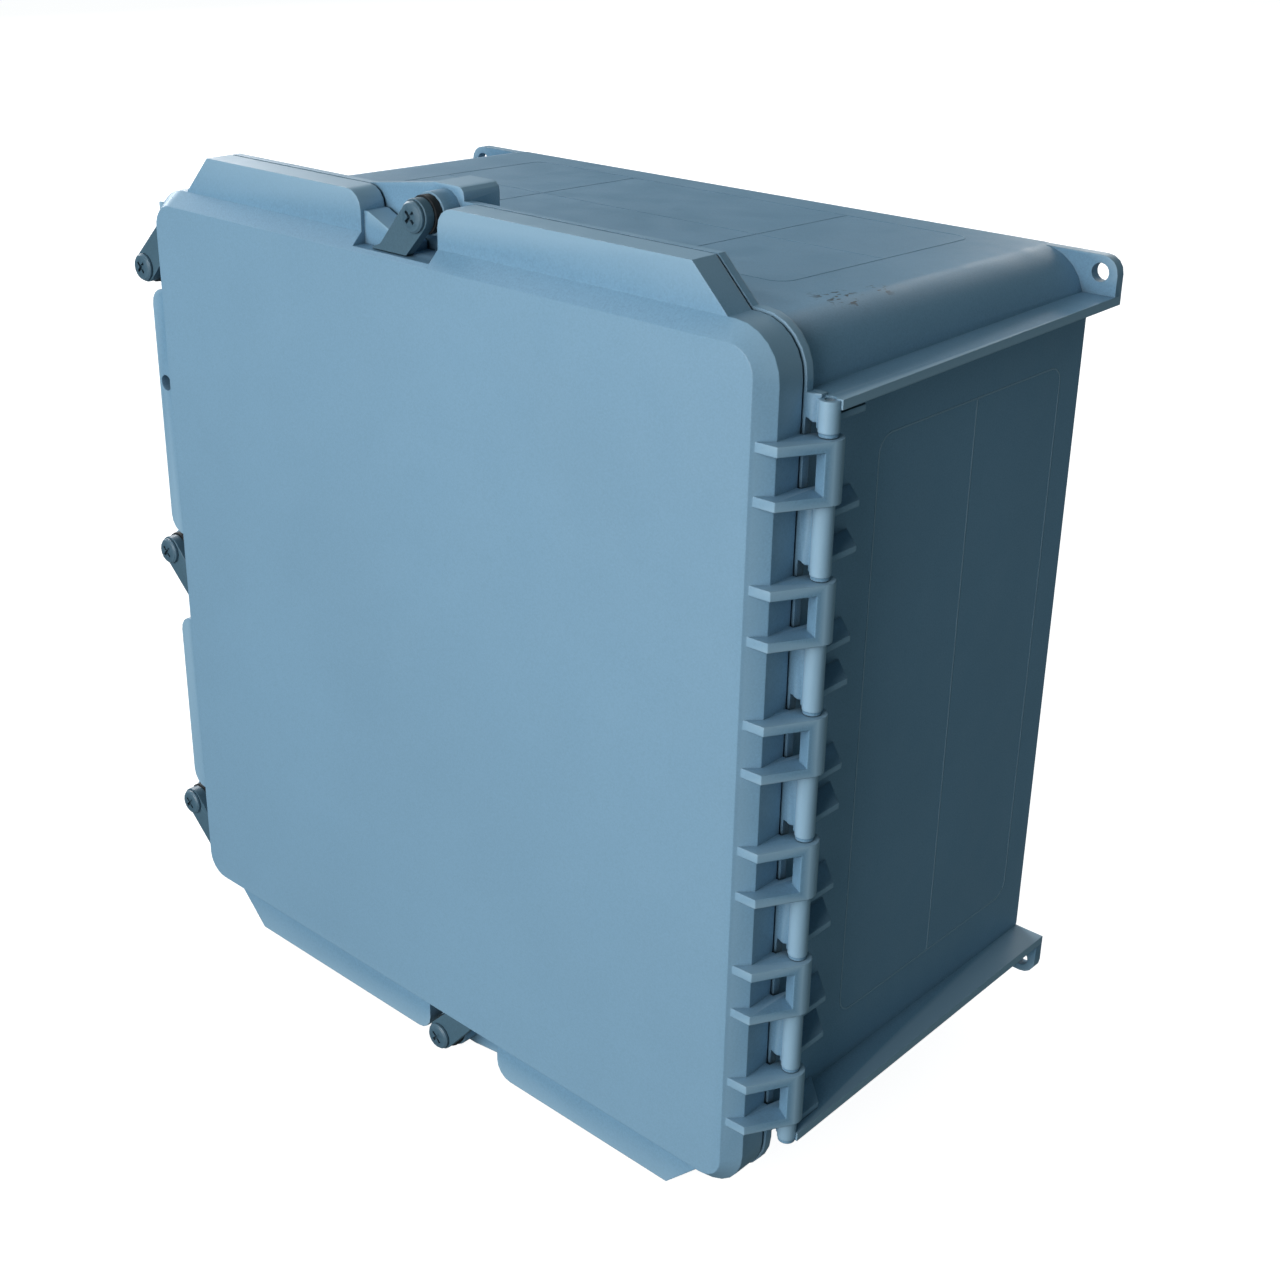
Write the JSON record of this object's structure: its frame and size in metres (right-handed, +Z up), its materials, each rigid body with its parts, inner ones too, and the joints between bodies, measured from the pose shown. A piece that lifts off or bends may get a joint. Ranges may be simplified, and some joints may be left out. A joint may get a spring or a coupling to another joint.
{
  "type": "fiber termination box",
  "caption": "Deep square wall enclosure of moulded plastic with a side-hinged cover held by swing clamps, holding splice trays and fibre adapters.",
  "frame": {"origin": "centre of the flat rear face that lies against the wall", "axes": "+Z up, +X towards the hinge side, +Y towards the wall, out of the rear face"},
  "size_m": [0.4742, 0.263, 0.4892],
  "materials": {
    "housing": "moulded blue-grey plastic, satin",
    "clamp": "dark slate moulded plastic, satin",
    "washer": "black moulded washer",
    "clamp_screw": "stainless steel, satin",
    "insert": "knurled brass",
    "gasket": "foamed seal",
    "steel": "stainless steel",
    "panel": "white powder coat",
    "adapter": "green moulded plastic",
    "dust_cap": "natural soft plastic",
    "tray": "black moulded plastic",
    "lid": "smoky clear sheet, modelled opaque"
  },
  "bodies": {
    "enclosure": {"enclosure_body": "housing", "clamp_washer_top": "washer", "clamp_washer_bottom": "washer", "clamp_washer_left_upper": "washer", "clamp_washer_left_middle": "washer", "clamp_washer_left_lower": "washer", "clamp_insert_top": "insert", "clamp_insert_bottom": "insert", "clamp_insert_left_upper": "insert", "clamp_insert_left_middle": "insert", "clamp_insert_left_lower": "insert", "hinge_pin": "steel", "tray_pin": "steel", "panel_screw_1": "steel", "panel_screw_2": "steel", "panel_screw_3": "steel", "panel_screw_4": "steel", "adapter_bracket_screw_1": "steel", "adapter_bracket_screw_2": "steel", "tray_screw_1": "steel", "tray_screw_2": "steel", "cable_clamp_screw_1": "steel", "cable_clamp_screw_2": "steel", "back_panel": "panel", "adapter_bracket": "panel", "adapter_1": "adapter", "adapter_2": "adapter", "adapter_3": "adapter", "adapter_4": "adapter", "adapter_5": "adapter", "adapter_6": "adapter", "dust_cap_1": "dust_cap", "dust_cap_2": "dust_cap", "dust_cap_3": "dust_cap", "dust_cap_4": "dust_cap", "dust_cap_5": "dust_cap", "dust_cap_6": "dust_cap", "splice_tray_lower": "tray", "slack_spool_1": "tray", "slack_spool_2": "tray", "cable_clamp_base": "tray", "cable_clamp_strap": "tray"},
    "cover": {"cover": "housing", "cover_gasket": "gasket"},
    "tray": {"splice_tray_upper": "tray", "tray_lid": "lid"},
    "clamp_top": {"clamp_top": "clamp"},
    "clamp_screw_top": {"clamp_screw_top": "clamp_screw"},
    "clamp_bottom": {"clamp_bottom": "clamp"},
    "clamp_screw_bottom": {"clamp_screw_bottom": "clamp_screw"},
    "clamp_left_upper": {"clamp_left_upper": "clamp"},
    "clamp_screw_left_upper": {"clamp_screw_left_upper": "clamp_screw"},
    "clamp_left_middle": {"clamp_left_middle": "clamp"},
    "clamp_screw_left_middle": {"clamp_screw_left_middle": "clamp_screw"},
    "clamp_left_lower": {"clamp_left_lower": "clamp"},
    "clamp_screw_left_lower": {"clamp_screw_left_lower": "clamp_screw"}
  },
  "joints": [
    {"name": "cover_hinge", "type": "hinge", "parent": "enclosure", "child": "cover", "pos_m": [0.226, -0.235, 0], "axis": [0, 0, 1], "range_deg": [0, 180]},
    {"name": "tray_hinge", "type": "hinge", "parent": "enclosure", "child": "tray", "pos_m": [-0.096, -0.037, 0.075], "axis": [0, 0, -1], "range_deg": [0, 110]},
    {"name": "clamp_top_swing", "type": "hinge", "parent": "enclosure", "child": "clamp_top", "pos_m": [0, -0.25575, 0.232], "axis": [0, 1, 0], "range_deg": [0, 110]},
    {"name": "clamp_screw_top_turn", "type": "hinge", "parent": "enclosure", "child": "clamp_screw_top", "pos_m": [0, -0.25575, 0.232], "axis": [0, 1, 0], "continuous": true},
    {"name": "clamp_bottom_swing", "type": "hinge", "parent": "enclosure", "child": "clamp_bottom", "pos_m": [0, -0.25575, -0.232], "axis": [0, 1, 0], "range_deg": [0, 110]},
    {"name": "clamp_screw_bottom_turn", "type": "hinge", "parent": "enclosure", "child": "clamp_screw_bottom", "pos_m": [0, -0.25575, -0.232], "axis": [0, 1, 0], "continuous": true},
    {"name": "clamp_left_upper_swing", "type": "hinge", "parent": "enclosure", "child": "clamp_left_upper", "pos_m": [-0.2285, -0.25575, 0.171], "axis": [0, -1, 0], "range_deg": [0, 110]},
    {"name": "clamp_screw_left_upper_turn", "type": "hinge", "parent": "enclosure", "child": "clamp_screw_left_upper", "pos_m": [-0.2285, -0.25575, 0.171], "axis": [0, 1, 0], "continuous": true},
    {"name": "clamp_left_middle_swing", "type": "hinge", "parent": "enclosure", "child": "clamp_left_middle", "pos_m": [-0.2285, -0.25575, 0], "axis": [0, 1, 0], "range_deg": [0, 110]},
    {"name": "clamp_screw_left_middle_turn", "type": "hinge", "parent": "enclosure", "child": "clamp_screw_left_middle", "pos_m": [-0.2285, -0.25575, 0], "axis": [0, 1, 0], "continuous": true},
    {"name": "clamp_left_lower_swing", "type": "hinge", "parent": "enclosure", "child": "clamp_left_lower", "pos_m": [-0.2285, -0.25575, -0.171], "axis": [0, 1, 0], "range_deg": [0, 110]},
    {"name": "clamp_screw_left_lower_turn", "type": "hinge", "parent": "enclosure", "child": "clamp_screw_left_lower", "pos_m": [-0.2285, -0.25575, -0.171], "axis": [0, 1, 0], "continuous": true}
  ]
}
